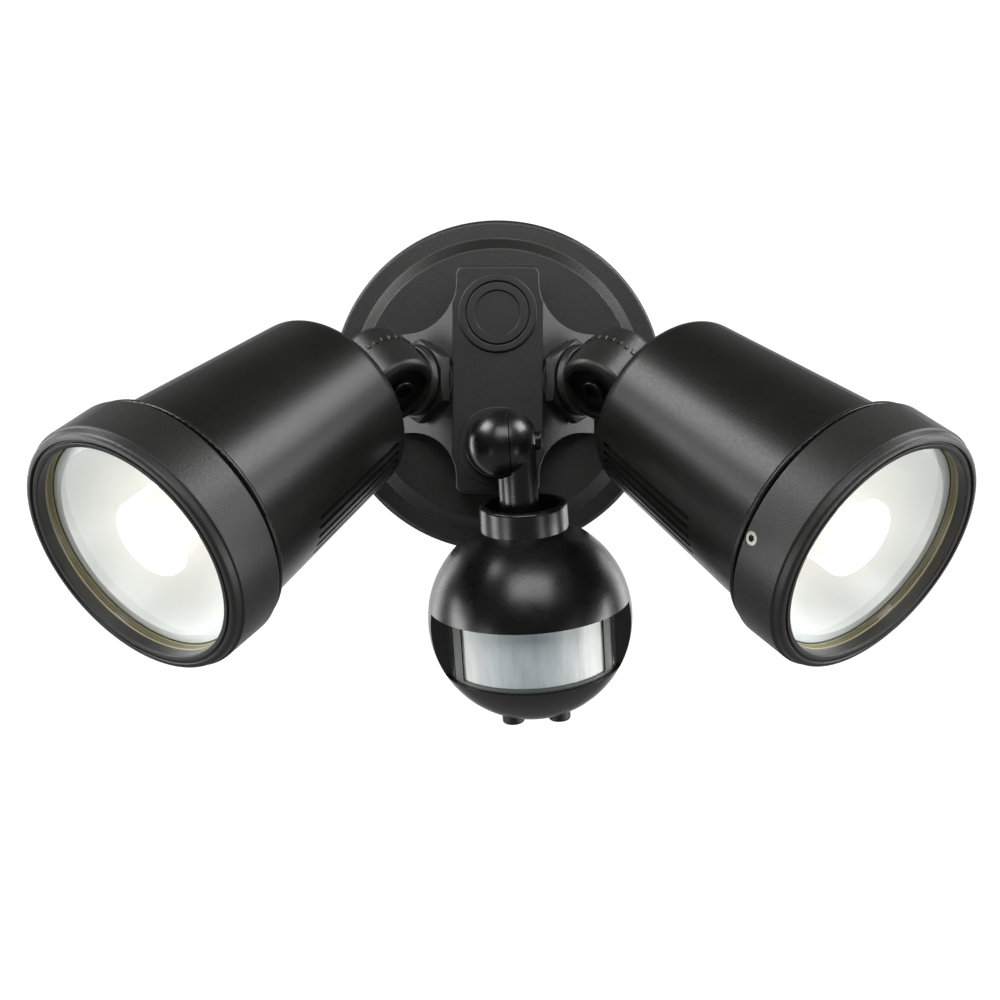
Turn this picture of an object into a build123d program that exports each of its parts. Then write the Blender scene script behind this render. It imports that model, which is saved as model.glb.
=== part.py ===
from build123d import *
from math import cos, radians, sin, sqrt, tan
import os

os.makedirs("parts", exist_ok=True)

# Twin spot security light with a ball-shaped motion sensor, held on a wall.
# Millimetres. The origin is the centre of the back plate's wall face, +Z is up and
# +Y points into the wall, so depth is counted towards -Y, away from the wall.

# ---- driving dimensions: back plate ----
plate_r = 60.0
flange_depth = 8.0
step_outer_r = 53.0
step_inner_r = 48.7
floor_depth = 13.0
plate_wall = 3.0
rim_round = 1.6
turret_depth = 32.0
arm_half_width = 14.4
arm_half_height = 39.2
arm_corner_r = 3.0
crease_x = 15.5
wing_half_height = 17.6
waist_r = 16.2
wing_angle = 45.0
turret_edge_r = 0.9

# ---- driving dimensions: threaded entries ----
entry_r = 10.0
thread_fit = 0.05
boss_r = 13.2
boss_depth = 3.5
ring_outer_r = 13.6
ring_inner_r = 10.9
ring_height = 1.0
plug_z = 22.8
sensor_entry_z = -22.8

# ---- driving dimensions: wall fixings ----
gasket_inner_r = 54.0
gasket_outer_r = 57.5
gasket_depth = 2.0
bracket_width = 26.0
bracket_sheet = 1.5
slot_spacing = 72.0
slot_length = 12.0
slot_width = 5.0
side_screw_depth = 5.0
side_screw_r = 2.0
side_head_r = 3.6
side_head_depth = 2.2
earth_round = 0.8
terminal_height = 12.0
terminal_pole = 8.0
terminal_poles = 3
terminal_round = 1.0
plug_rim = 3.0
plug_face = 0.4
plug_slope = 0.3

# ---- driving dimensions: lamp stem and pivot ----
seal_height = 0.8
seal_r = 13.4
nut_flats = 25.5
nut_height = 4.0
nut_chamfer = 1.0
collar_r = 12.2
collar_height = 3.2
collar_low_round = 0.6
collar_top_round = 0.9
column_r = 8.2
pivot_reach = 16.4
pivot_turn = 38.8
pivot_offset = 7.3
drum_r = 13.0
drum_back = 8.5
drum_round = 2.4
cheek_r = 11.2
cheek_height = 9.6
cheek_round = 3.4
face_gap = 0.3
tooth_count = 28
tooth_width = 1.0
tooth_depth = 0.9
tooth_reach = 3.0
pocket_r = 9.6
pocket_depth = 2.4
pivot_screw_r = 2.5
pivot_head_r = 4.2
pivot_head_height = 2.6
pivot_head_round = 0.7
pivot_screw_bite = 6.7
stem_bore_r = 5.0

# ---- driving dimensions: lamp head, heights counted from the pivot along the beam ----
head_front = 124.0
body_front_r = 36.0
body_rear_r = 31.2
body_rear_drop = 94.8
spigot_step = 1.8
bezel_wall = 2.3
bezel_ledge = 3.2
lip_step = 0.8
flare_inset = 0.9
glass_margin = 1.2
lip_height = 3.0
lip_fall = 0.2
lip_taper = 0.5
lip_round = 1.4
groove_outer = 2.4
groove_inner = 1.4
groove_depth = 0.8
edge_round = 0.3
bezel_round = 0.7
bezel_length = 18.2
bezel_gap = 1.2
bezel_flange = 3.7
flare_height = 3.0
flare_low_round = 0.8
flare_top_round = 0.6
flare_root = 1.5
spigot_bore = 1.2
dome_height = 5.3
dome_flat_r = 19.0
dome_round = 6.0
head_wall = 2.8
spigot_height = 9.2
neck_r = 9.0
neck_flange_r = 13.0
neck_flange_height = 3.0
neck_flange_round = 1.0
neck_step = 1.0
neck_spigot = 3.0
glass_thickness = 4.0
glass_round = 0.5
gasket_lip = 0.7
gasket_shy = 0.1
slot_count = 5
slot_pitch = 6.2
slot_first = 113.0
vent_width = 1.7
vent_depth = 1.3
vent_start = 34.5
vent_end = 80.0
lock_screw_r = 2.0
lock_screw_length = 5.0
lock_head = 1.8
lock_socket = 1.1
lock_margin = 0.5
lock_screw_turn = 93.8
left_yaw = 36.5
left_drop = 30.0
right_yaw = 40.2
right_drop = 30.1

# ---- driving dimensions: light source ----
bowl_rim = 2.8
bowl_floor_r = 14.0
bowl_depth = 29.0
bowl_wall = 1.2
bowl_belly = 1.8
bowl_low_share = 0.35
bowl_back_share = 0.32
led_board_r = 17.0
led_board_thickness = 1.6
emitter_r = 9.0
emitter_height = 1.0
cap_r = 12.6
cap_thickness = 2.4
cap_drop = 2.0
cap_round = 1.2
leg_rise = 0.6
leg_top = 2.0
leg_foot_inner = 3.0
leg_foot_outer = 1.2
leg_count = 3
leg_width = 1.4
leg_turn = 30.0
sink_height = 20.0
sink_base = 5.0
fin_count = 9
fin_width = 1.8
sink_clear = 1.2
driver_length = 21.0
driver_width = 44.0
driver_sheet = 1.6
choke_size = 12.0
choke_height = 10.0
choke_share = 0.25
capacitor_r = 4.0
capacitor_height = 12.0
capacitor_share = -0.05
chip_width = 9.0
chip_length = 14.0
chip_height = 6.0
chip_share = -0.3

# ---- driving dimensions: sensor arm ----
sensor_reach = 24.0
sensor_shift = 1.9
sensor_roll = 3.8
sensor_tilt = 15.0
knuckle_r = 11.4
knuckle_split = 1.8
foot_r = 11.2
foot_height = 2.6
shank_r = 7.0
arm_offset = 5.2
arm_r = 7.8
arm_bore_r = 4.0
arm_flange_width = 1.6
arm_flange_height = 2.0
arm_clear = 26.0
clamp_screw_r = 2.0
clamp_seat = 10.2
clamp_end = -5.5
clamp_head_r = 3.2
clamp_head_height = 2.4

# ---- driving dimensions: sensor head, heights counted from the ball's centre ----
ball_r = 34.5
shell_wall = 2.2
shell_split = 1.0
split_gap = 0.25
hood_edge = 6.2
lip_edge = -15.8
window_back = 9.0
band_inset = 5.3
band_thickness = 3.6
lens_margin = 3.0
frame_side = 2.8
frame_bar = 1.0
lens_thickness = 0.8
lens_inset = 0.8
collar_outer_r = 14.6
collar_inner_r = 12.4
collar_stand = 5.1
collar_round = 0.9
web_drop = 3.5
web_height = 3.0
knob_spread = 7.8
knob_forward = 7.0
knob_r = 3.8
knob_stand = 0.3
knob_depth = 6.5
knob_round = 0.8
knob_shaft_r = 2.0
knob_slot_width = 1.2
knob_slot_share = 0.8
knob_slot_depth = 1.0
pot_width = 8.5
pot_height = 4.4
board_forward = 2.0
board_half_height = 15.0
board_thickness = 1.6
can_r = 4.6
can_height = 4.4
can_round = 0.6
relay_width = 19.0
relay_height = 15.0
relay_depth = 10.0
pillar_r = 3.8
screw_inset = 4.5
upper_screw_height = 15.0
lower_screw_clear = 2.75
shell_screw_r = 1.5
screw_seat = -8.0
shell_head_r = 2.8
shell_head_height = 2.0

# ---- named clearances ----
seat_gap = 0.2
pin_fit = 0.05
run_gap = 0.4

# ---- frames ----
# Each frame has its Z along the piece's own axis, out of the wall or along the beam.
front = Plane(origin=(0, 0, 0), x_dir=(1, 0, 0), z_dir=(0, -1, 0))
plug_frame = Plane(origin=(0, -turret_depth, plug_z), x_dir=(1, 0, 0), z_dir=(0, -1, 0))
sensor_entry = Plane(origin=(0, -turret_depth, sensor_entry_z), x_dir=(1, 0, 0), z_dir=(0, -1, 0))

# ---- sizes that follow from the ones above ----
spigot_r = body_front_r + spigot_step
bezel_r = spigot_r + bezel_wall
lip_r = bezel_r - lip_step
flare_r = bezel_r - flare_inset
opening_r = spigot_r - bezel_ledge
glass_r = spigot_r - glass_margin
arm_length = ball_r + arm_clear
band_outer_r = ball_r - band_inset
band_inner_r = band_outer_r - band_thickness
lens_half_width = band_outer_r - lens_margin
collar_top = ball_r + collar_stand
web_top = ball_r - web_drop
knob_low = -ball_r - knob_stand
knob_top = knob_depth - ball_r
screw_circle = ball_r - screw_inset
lower_screw_x = knob_spread + pot_width / 2 + pillar_r + lower_screw_clear
upper_screw = (sqrt(screw_circle**2 - upper_screw_height**2), upper_screw_height)
lower_screw = (lower_screw_x, -sqrt(screw_circle**2 - lower_screw_x**2))
bowl_rim_r = body_front_r - head_wall + spigot_bore - seat_gap
bowl_r = bowl_rim_r - bowl_rim
wing_run = (turret_depth - floor_depth) / tan(radians(wing_angle))
wing_x = crease_x + wing_run / 2
wing_depth = (turret_depth + floor_depth) / 2
boss_low = -plate_wall - boss_depth


def along(start, direction, distance):
    """The point that lies a distance from the start in a direction."""
    return Vector(*start) + Vector(*direction).normalized() * distance


def stem_frame(side):
    """Centre of the wing on one side (-1 left, 1 right), Z square out of the wing."""
    out = (side * sin(radians(wing_angle)), -cos(radians(wing_angle)), 0)
    return Plane(origin=(side * wing_x, -wing_depth, 0), x_dir=(0, 0, 1), z_dir=out)


def pivot_frame(side):
    """Crossing of the stem and the pivot, Z along the pivot, from the stem's drum to the lamp's cheek."""
    stem = stem_frame(side)
    level = Vector(side * cos(radians(wing_angle)), sin(radians(wing_angle)), 0)
    pivot = level * cos(radians(pivot_turn)) + Vector(0, 0, 1) * sin(radians(pivot_turn))
    return Plane(origin=along(stem.origin, stem.z_dir, pivot_reach), x_dir=stem.z_dir, z_dir=pivot)


def head_frame(side, yaw, drop):
    """Point on the pivot that the beam's axis starts from, Z along the beam, X as near up as it can be."""
    pivot = pivot_frame(side)
    beam = Vector(
        side * sin(radians(yaw)) * cos(radians(drop)),
        -cos(radians(yaw)) * cos(radians(drop)),
        -sin(radians(drop)),
    )
    up = Vector(0, 0, 1) - beam * beam.Z
    return Plane(origin=along(pivot.origin, pivot.z_dir, pivot_offset), x_dir=up, z_dir=beam)


# The sensor's frames: X along its pivot, to the right, Z up along its arm.
roll = radians(sensor_roll)
tilt = radians(sensor_tilt)
sensor_right = Vector(cos(roll), 0, sin(roll))
sensor_up = Vector(-sin(roll) * cos(tilt), -sin(tilt), cos(roll) * cos(tilt))
knuckle_centre = along(sensor_entry.origin, sensor_entry.z_dir, sensor_reach) + Vector(sensor_shift, 0, 0)
knuckle_axis = Plane(origin=knuckle_centre, x_dir=sensor_up, z_dir=sensor_right)
arm_top = along(knuckle_centre, sensor_right, arm_offset)
ball_centre = along(arm_top, sensor_up, -arm_length)
ball_frame = Plane(origin=ball_centre, x_dir=sensor_right, z_dir=sensor_up)
look = Plane(origin=ball_centre, x_dir=sensor_right, z_dir=-ball_frame.y_dir)


def turned(frame, angle):
    """The same frame turned about its own Z, from its X towards its Y."""
    x_dir = frame.x_dir * cos(radians(angle)) + frame.y_dir * sin(radians(angle))
    return Plane(origin=frame.origin, x_dir=x_dir, z_dir=frame.z_dir)


def section(frame):
    """The plane that a turned piece's outline is drawn in: radius across, height up the frame's Z."""
    return Plane(origin=frame.origin, x_dir=frame.x_dir, z_dir=-frame.y_dir)


def turn(frame, corners, mode=Mode.ADD):
    """Turn an outline of (radius, height) corners about the frame's Z; a third value rounds the corner."""
    with BuildSketch(section(frame)) as profile:
        with BuildLine():
            Polyline(*[corner[:2] for corner in corners], close=True)
        make_face()
        for radius, height, rounding in [corner for corner in corners if len(corner) > 2]:
            fillet(profile.vertices().sort_by_distance((radius, height))[0], rounding)
    revolve(profile.sketch, axis=Axis(frame.origin, frame.z_dir), mode=mode)


def ring(inner_r, outer_r, low, high):
    """Corners of a plain ring, or of a disc when the inner radius is zero."""
    return [(inner_r, low), (outer_r, low), (outer_r, high), (inner_r, high)]


def write(piece, name):
    """Label a finished piece and write it as its own file."""
    piece.part.label = name
    export_step(piece.part, f"parts/{name}.step")


# ---- back plate ----
def turret_form(inset):
    """The raised cross on the plate, drawn in by an inset on every side."""
    top = turret_depth - inset
    crease = crease_x - inset * tan(radians(wing_angle / 2))
    foot = crease + top / tan(radians(wing_angle))
    half_height = arm_half_height - inset
    with BuildPart() as form:
        with BuildSketch(Plane.XY.offset(-half_height)):
            with BuildLine():
                Polyline((-foot, 0), (-crease, -top), (crease, -top), (foot, 0), close=True)
            make_face()
        extrude(amount=2 * half_height)
        with BuildSketch(front) as outline:
            Rectangle(2 * (arm_half_width - inset), 2 * half_height)
            fillet(outline.vertices(), arm_corner_r)
            Rectangle(2 * (foot + 1), 2 * (wing_half_height - inset))
            waist = outline.vertices().filter_by(
                lambda v: abs(abs(v.X) - arm_half_width + inset) < 0.01
                and abs(abs(v.Y) - wing_half_height + inset) < 0.01
            )
            fillet(waist, waist_r)
        extrude(amount=turret_depth, mode=Mode.INTERSECT)
        if inset == 0:
            face_edges = form.faces().sort_by(Axis.Y)[0].edges()
            fillet(face_edges, turret_edge_r)
    return form.part


turret = turret_form(0)
turret_hollow = turret_form(plate_wall)
rim_inner_r = step_inner_r - plate_wall / 2
lamp_sides = (-1, 1)

with BuildPart() as back_plate:
    turn(front, [
        (0, 0),
        (plate_r, 0),
        (plate_r, flange_depth, rim_round),
        (step_outer_r, flange_depth, rim_round / 2),
        (step_inner_r, floor_depth, rim_round / 2),
        (0, floor_depth),
    ])
    add(turret)
    turn(front, ring(0, rim_inner_r, 0, floor_depth - plate_wall), mode=Mode.SUBTRACT)
    add(turret_hollow, mode=Mode.SUBTRACT)
    # Raised rings round the two front entries, and bosses behind all four.
    for entry in (plug_frame, sensor_entry):
        turn(entry, ring(0, boss_r, boss_low, -plate_wall / 2))
        turn(entry, [
            (0, -plate_wall / 2),
            (ring_outer_r, -plate_wall / 2),
            (ring_outer_r, ring_height, ring_height / 2),
            (ring_inner_r, ring_height, ring_height / 2),
            (ring_inner_r, 0),
            (0, 0),
        ])
        turn(entry, ring(0, entry_r, boss_low, ring_height), mode=Mode.SUBTRACT)
    for side in lamp_sides:
        wing = stem_frame(side)
        turn(wing, ring(0, boss_r, boss_low, -plate_wall / 2))
        turn(wing, ring(0, entry_r, boss_low, ring_height), mode=Mode.SUBTRACT)
    turn(front, ring(gasket_inner_r, gasket_outer_r, 0, gasket_depth), mode=Mode.SUBTRACT)
    # One screw through the rim on each side pulls the plate onto the wall bracket.
    for side in lamp_sides:
        screw_way = Plane(origin=(0, -side_screw_depth, 0), x_dir=(0, 0, 1), z_dir=(side, 0, 0))
        turn(screw_way, ring(0, side_screw_r + pin_fit, step_inner_r - plate_wall, plate_r), Mode.SUBTRACT)
        turn(screw_way, ring(0, side_head_r + seat_gap, plate_r - side_head_depth, plate_r + 1), Mode.SUBTRACT)
write(back_plate, "back_plate")

with BuildPart() as wall_gasket:
    turn(front, ring(gasket_inner_r + pin_fit, gasket_outer_r - pin_fit, 0, gasket_depth - pin_fit))
write(wall_gasket, "wall_gasket")

# ---- wall bracket: a steel strap with a bent tab at each end ----
tab_x = sqrt(rim_inner_r**2 - (bracket_width / 2) ** 2) - seat_gap
tab_height = floor_depth - plate_wall - seat_gap
tab_top = side_screw_depth + side_screw_r + bracket_sheet
with BuildPart() as wall_bracket:
    with BuildSketch(front):
        Rectangle(2 * tab_x, bracket_width)
        with GridLocations(slot_spacing, 0, 2, 1):
            SlotOverall(slot_length, slot_width, mode=Mode.SUBTRACT)
    extrude(amount=bracket_sheet)
    for side in lamp_sides:
        with BuildSketch(front):
            with Locations((side * (tab_x - bracket_sheet / 2), 0)):
                Rectangle(bracket_sheet, bracket_width / 2)
        extrude(amount=tab_top)
        tab_hole = Plane(origin=(0, -side_screw_depth, 0), x_dir=(0, 0, 1), z_dir=(side, 0, 0))
        turn(tab_hole, ring(0, side_screw_r + pin_fit, tab_x - 2 * bracket_sheet, tab_x), Mode.SUBTRACT)
write(wall_bracket, "wall_bracket")

with BuildPart() as side_screws:
    for side in lamp_sides:
        screw_way = Plane(origin=(0, -side_screw_depth, 0), x_dir=(0, 0, 1), z_dir=(side, 0, 0))
        head_low = plate_r - side_head_depth + pin_fit
        turn(screw_way, [
            (0, tab_x - 2 * bracket_sheet),
            (side_screw_r, tab_x - 2 * bracket_sheet),
            (side_screw_r, head_low),
            (side_head_r, head_low),
            (side_head_r, plate_r - seat_gap, side_screw_r / 2),
            (side_screw_r / 2, plate_r - seat_gap),
            (side_screw_r / 2, head_low),
            (0, head_low),
        ])
write(side_screws, "side_screws")

# ---- blanking plug in the top entry ----
with BuildPart() as entry_plug:
    turn(plug_frame, [
        (0, boss_low),
        (entry_r - thread_fit, boss_low),
        (entry_r - thread_fit, seat_gap),
        (ring_inner_r - seat_gap, seat_gap),
        (ring_inner_r - seat_gap, ring_height, ring_height / 3),
        (ring_inner_r - plug_rim, ring_height, ring_height / 3),
        (ring_inner_r - plug_rim - plug_slope, plug_face),
        (0, plug_face),
    ])
write(entry_plug, "entry_plug")

# ---- supply terminals on the bracket ----
terminal_width = 2 * (arm_half_width - plate_wall) - 2 * seat_gap
with BuildPart() as terminal_block:
    with BuildSketch(front.offset(bracket_sheet)):
        RectangleRounded(terminal_width, terminal_poles * terminal_pole, terminal_round)
    extrude(amount=terminal_height)
    with BuildSketch(front.offset(bracket_sheet + terminal_height)):
        with GridLocations(terminal_width / 2, terminal_pole, 2, terminal_poles):
            Circle(side_screw_r + seat_gap)
    extrude(amount=-terminal_height / 2, mode=Mode.SUBTRACT)
write(terminal_block, "terminal_block")

with BuildPart() as terminal_screws:
    with BuildSketch(front.offset(bracket_sheet + terminal_height / 2 + pin_fit)):
        with GridLocations(terminal_width / 2, terminal_pole, 2, terminal_poles):
            Circle(side_screw_r)
    extrude(amount=terminal_height / 4)
write(terminal_screws, "terminal_screws")

earth_x = (slot_spacing / 2 - slot_length / 2 + terminal_width / 2) / 2
earth_frame = Plane(origin=(earth_x, -bracket_sheet, 0), x_dir=(1, 0, 0), z_dir=(0, -1, 0))
with BuildPart() as earth_screw:
    turn(earth_frame, [(0, pin_fit), (side_head_r, pin_fit), (side_head_r, side_head_depth, earth_round), (0, side_head_depth)])
write(earth_screw, "earth_screw")


# ---- lamps ----
def lamp(side, name, yaw, drop, lock_turn):
    """One lamp with its seal, nut, stem, pivot, housing, front and light source."""
    stem = stem_frame(side)
    pivot = pivot_frame(side)
    head = head_frame(side, yaw, drop)
    nut_top = seal_height + nut_height
    collar_low = nut_top + face_gap
    drum_top = pivot_offset - face_gap
    cheek_low = pivot_offset + face_gap

    with BuildPart() as stem_seal:
        turn(stem, ring(entry_r + pin_fit, seal_r, 0, seal_height - pin_fit))
    write(stem_seal, f"{name}_stem_seal")

    with BuildPart() as locknut:
        with BuildSketch(stem.offset(seal_height)):
            RegularPolygon(nut_flats / 2, 6, major_radius=False)
            Circle(entry_r, mode=Mode.SUBTRACT)
        extrude(amount=nut_height)
        turn(stem, [
            (nut_flats / 2, nut_top),
            (nut_flats / 2 + nut_chamfer + nut_flats, nut_top),
            (nut_flats / 2 + nut_chamfer + nut_flats, nut_top - nut_flats / 2),
        ], Mode.SUBTRACT)
    write(locknut, f"{name}_locknut")

    # The stem: a threaded tail, a collar and a drum whose toothed face meets the lamp's cheek.
    with BuildPart() as stem_body:
        turn(pivot, [
            (0, -drum_back),
            (drum_r, -drum_back, drum_round),
            (drum_r, drum_top),
            (0, drum_top),
        ])
        turn(stem, [
            (0, collar_low),
            (collar_r, collar_low, collar_low_round),
            (collar_r, collar_low + collar_height, collar_top_round),
            (column_r, collar_low + collar_height),
            (column_r, pivot_reach),
            (0, pivot_reach),
        ])
        turn(stem, ring(0, 2 * drum_r, -drum_r, collar_low), Mode.SUBTRACT)
        turn(stem, ring(0, entry_r - thread_fit, boss_low, collar_low))
        turn(pivot, ring(0, cheek_r + run_gap, drum_top, cheek_low + cheek_height), Mode.SUBTRACT)
        turn(pivot, ring(0, pocket_r, -drum_back, -drum_back + pocket_depth), Mode.SUBTRACT)
        turn(pivot, ring(0, pivot_screw_r + pin_fit, -drum_back, drum_top), Mode.SUBTRACT)
        turn(stem, ring(0, stem_bore_r, boss_low, nut_top), Mode.SUBTRACT)
        with BuildSketch(pivot.offset(drum_top)) as teeth:
            with PolarLocations(drum_r, tooth_count):
                Rectangle(2 * tooth_reach, tooth_width)
        extrude(teeth.sketch, amount=-tooth_depth, mode=Mode.SUBTRACT)
    write(stem_body, f"{name}_stem")

    screw_low = -drum_back + pocket_depth
    screw_end = cheek_low + pivot_screw_bite
    with BuildPart() as pivot_screw:
        turn(pivot, [
            (0, screw_end),
            (pivot_screw_r, screw_end),
            (pivot_screw_r, screw_low - pin_fit),
            (pivot_head_r, screw_low - pin_fit),
            (pivot_head_r, screw_low - pivot_head_height, pivot_head_round),
            (pivot_screw_r, screw_low - pivot_head_height),
            (pivot_screw_r, screw_low - pivot_head_height / 2),
            (0, screw_low - pivot_head_height / 2),
        ])
    write(pivot_screw, f"{name}_pivot_screw")

    # The lamp's knuckle: a round cheek on the pivot and a neck that runs to the housing.
    rear_rim = head_front - body_rear_drop
    dome_end = rear_rim - dome_height
    neck_end = dome_end + head_wall + neck_spigot
    with BuildPart() as knuckle:
        turn(head, ring(0, neck_r, 0, dome_end - neck_flange_height / 2))
        turn(pivot, ring(0, drum_r + run_gap, -2 * drum_r, cheek_low), Mode.SUBTRACT)
        turn(pivot, [
            (0, cheek_low),
            (cheek_r, cheek_low),
            (cheek_r, cheek_low + cheek_height, cheek_round),
            (0, cheek_low + cheek_height),
        ])
        turn(head, [
            (0, dome_end - neck_flange_height),
            (neck_flange_r, dome_end - neck_flange_height, neck_flange_round),
            (neck_flange_r, dome_end),
            (neck_r - neck_step, dome_end),
            (neck_r - neck_step, neck_end),
            (0, neck_end),
        ])
        turn(pivot, ring(0, pivot_screw_r + pin_fit, cheek_low, screw_end + seat_gap), Mode.SUBTRACT)
        turn(head, ring(0, neck_r / 2, dome_end - neck_flange_height, neck_end), Mode.SUBTRACT)
        with BuildSketch(pivot.offset(cheek_low)) as teeth:
            with PolarLocations(cheek_r, tooth_count):
                Rectangle(2 * tooth_reach, tooth_width)
        extrude(teeth.sketch, amount=tooth_depth, mode=Mode.SUBTRACT)
    write(knuckle, f"{name}_knuckle")

    # The housing: a tapered can with a rounded back, a flared front and cooling slots.
    bezel_rear = head_front - bezel_length
    flare_top = bezel_rear - bezel_gap
    flare_low = flare_top - flare_height
    spigot_top = bezel_rear + spigot_height
    slope = (body_front_r - body_rear_r) / (flare_low - rear_rim)
    inner_rear = rear_rim - dome_height + head_wall
    with BuildPart() as housing:
        turn(head, [
            (0, dome_end),
            (dome_flat_r, dome_end, dome_round),
            (body_rear_r, rear_rim, dome_height),
            (body_front_r, flare_low, flare_root),
            (flare_r, flare_low + flare_height / 2, flare_low_round),
            (flare_r, flare_top, flare_top_round),
            (spigot_r, flare_top),
            (spigot_r, spigot_top),
            (0, spigot_top),
        ])
        turn(head, [
            (0, inner_rear),
            (dome_flat_r, inner_rear),
            (body_rear_r - head_wall, rear_rim + head_wall / 2),
            (body_front_r - head_wall, flare_low),
            (body_front_r - head_wall + spigot_bore, flare_top),
            (body_front_r - head_wall + spigot_bore, spigot_top),
            (0, spigot_top),
        ], Mode.SUBTRACT)
        turn(head, ring(0, neck_r - neck_step + pin_fit, dome_end, inner_rear), Mode.SUBTRACT)
        for bank in (1, -1):
            for count in range(slot_count):
                angle = bank * side * (slot_first + count * slot_pitch)
                vent = turned(head, angle)
                middle = (vent_start + vent_end) / 2
                surface = body_rear_r + slope * (middle - rear_rim)
                spread = vent.x_dir
                lean = (vent.z_dir + spread * slope).normalized()
                out = (spread - vent.z_dir * slope).normalized()
                centre = head.origin + spread * (surface - vent_depth) + vent.z_dir * middle
                with BuildSketch(Plane(origin=centre, x_dir=lean, z_dir=out)) as slit:
                    SlotOverall(vent_end - vent_start, vent_width)
                extrude(slit.sketch, amount=2 * vent_depth, mode=Mode.SUBTRACT)
        lock_frame = turned(head, lock_turn)
        lock_height = bezel_rear + lock_screw_r + lock_margin
        lock_way = Plane(
            origin=head.origin + head.z_dir * lock_height, x_dir=head.z_dir, z_dir=lock_frame.x_dir
        )
        turn(lock_way, ring(0, lock_screw_r + pin_fit, spigot_r - lock_screw_length / 3, spigot_r + 1), Mode.SUBTRACT)
    write(housing, f"{name}_housing")

    # The bezel screws over the housing's spigot and is locked by one socket screw.
    lip_low = head_front - lip_height
    bezel_seat = head_front - bezel_flange
    with BuildPart() as bezel:
        turn(head, [
            (spigot_r + pin_fit, bezel_rear),
            (bezel_r, bezel_rear, bezel_round),
            (bezel_r - lip_fall, lip_low, edge_round),
            (lip_r, lip_low + lip_fall),
            (lip_r - lip_taper, head_front - lip_fall, lip_round),
            (opening_r + groove_outer, head_front, edge_round),
            (opening_r + groove_outer - edge_round, head_front - groove_depth),
            (opening_r + groove_inner + lip_fall, head_front - groove_depth),
            (opening_r + groove_inner, head_front - lip_fall, lip_fall),
            (opening_r, head_front - 2 * lip_fall, 2 * lip_fall),
            (opening_r, bezel_seat),
            (spigot_r + pin_fit, bezel_seat),
        ])
        turn(lock_way, ring(0, lock_screw_r + pin_fit, spigot_r, bezel_r + 1), Mode.SUBTRACT)
    write(bezel, f"{name}_bezel")

    screw_top = bezel_r - seat_gap
    with BuildPart() as lock_screw:
        with BuildSketch(lock_way.offset(screw_top - lock_head)):
            Circle(lock_screw_r)
            RegularPolygon(lock_socket, 6, mode=Mode.SUBTRACT)
        extrude(amount=lock_head)
        turn(lock_way, ring(0, lock_screw_r, spigot_r - lock_screw_length / 4, screw_top - lock_head))
    write(lock_screw, f"{name}_bezel_screw")

    glass_front = bezel_seat - gasket_lip
    glass_back = glass_front - glass_thickness
    with BuildPart() as gasket:
        turn(head, [
            (opening_r + gasket_shy, spigot_top + pin_fit),
            (spigot_r - pin_fit, spigot_top + pin_fit),
            (spigot_r - pin_fit, bezel_seat - pin_fit),
            (opening_r + gasket_shy, bezel_seat - pin_fit),
            (opening_r + gasket_shy, glass_front + pin_fit),
            (glass_r + pin_fit, glass_front + pin_fit),
            (glass_r + pin_fit, glass_back - pin_fit),
            (opening_r + gasket_shy, glass_back - pin_fit),
        ])
    write(gasket, f"{name}_glass_gasket")

    with BuildPart() as glass:
        turn(head, [
            (0, glass_back),
            (glass_r, glass_back, glass_round),
            (glass_r, glass_front, glass_round),
            (0, glass_front),
        ])
    write(glass, f"{name}_glass")

    # The reflector: a flat rim and a bowl that follows a parabola down to the light source.
    rim_top = spigot_top - pin_fit
    floor_height = rim_top - bowl_depth
    with BuildPart() as reflector:
        with BuildSketch(section(head)) as profile:
            with BuildLine():
                inner = Bezier(
                    (bowl_floor_r, floor_height),
                    ((bowl_floor_r + bowl_r) / bowl_belly, floor_height + bowl_depth * bowl_low_share),
                    (bowl_r, rim_top),
                )
                outer_low = (bowl_floor_r + 1.6 * bowl_wall, floor_height)
                outer_high = (bowl_r + 1.2 * bowl_wall, rim_top - bowl_wall)
                Line(inner @ 1, (bowl_rim_r, rim_top))
                Line((bowl_rim_r, rim_top), (bowl_rim_r, rim_top - bowl_wall))
                Line((bowl_rim_r, rim_top - bowl_wall), outer_high)
                outer = Bezier(
                    outer_high,
                    ((bowl_floor_r + bowl_r) / bowl_belly + 1.4 * bowl_wall, floor_height + bowl_depth * bowl_back_share),
                    outer_low,
                )
                Line(outer @ 1, inner @ 0)
            make_face()
        revolve(profile.sketch, axis=Axis(head.origin, head.z_dir))
    write(reflector, f"{name}_reflector")

    # Light source: a round board on a finned heat sink, with a cap on three legs before it.
    board_top = floor_height - pin_fit
    with BuildPart() as led_board:
        turn(head, ring(0, led_board_r, board_top - led_board_thickness, board_top))
        turn(head, ring(0, emitter_r, board_top, board_top + emitter_height))
    write(led_board, f"{name}_led_board")

    cap_top = spigot_top - cap_drop
    cap_low = cap_top - cap_thickness
    with BuildPart() as glare_cap:
        turn(head, [
            (0, cap_low),
            (cap_r, cap_low),
            (cap_r, cap_top, cap_round),
            (0, cap_top),
        ])
        for count in range(leg_count):
            leg = turned(head, leg_turn + count * 360 / leg_count)
            with BuildSketch(section(leg)) as strut:
                with BuildLine():
                    Polyline(
                        (cap_r - leg_top, cap_low + leg_rise),
                        (cap_r - leg_top, cap_low),
                        (bowl_floor_r - leg_foot_inner, board_top + seat_gap),
                        (bowl_floor_r - leg_foot_outer, board_top + seat_gap),
                        (cap_r, cap_low + leg_rise),
                        close=True,
                    )
                make_face()
            extrude(strut.sketch, amount=leg_width / 2, both=True)
    write(glare_cap, f"{name}_glare_cap")

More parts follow.
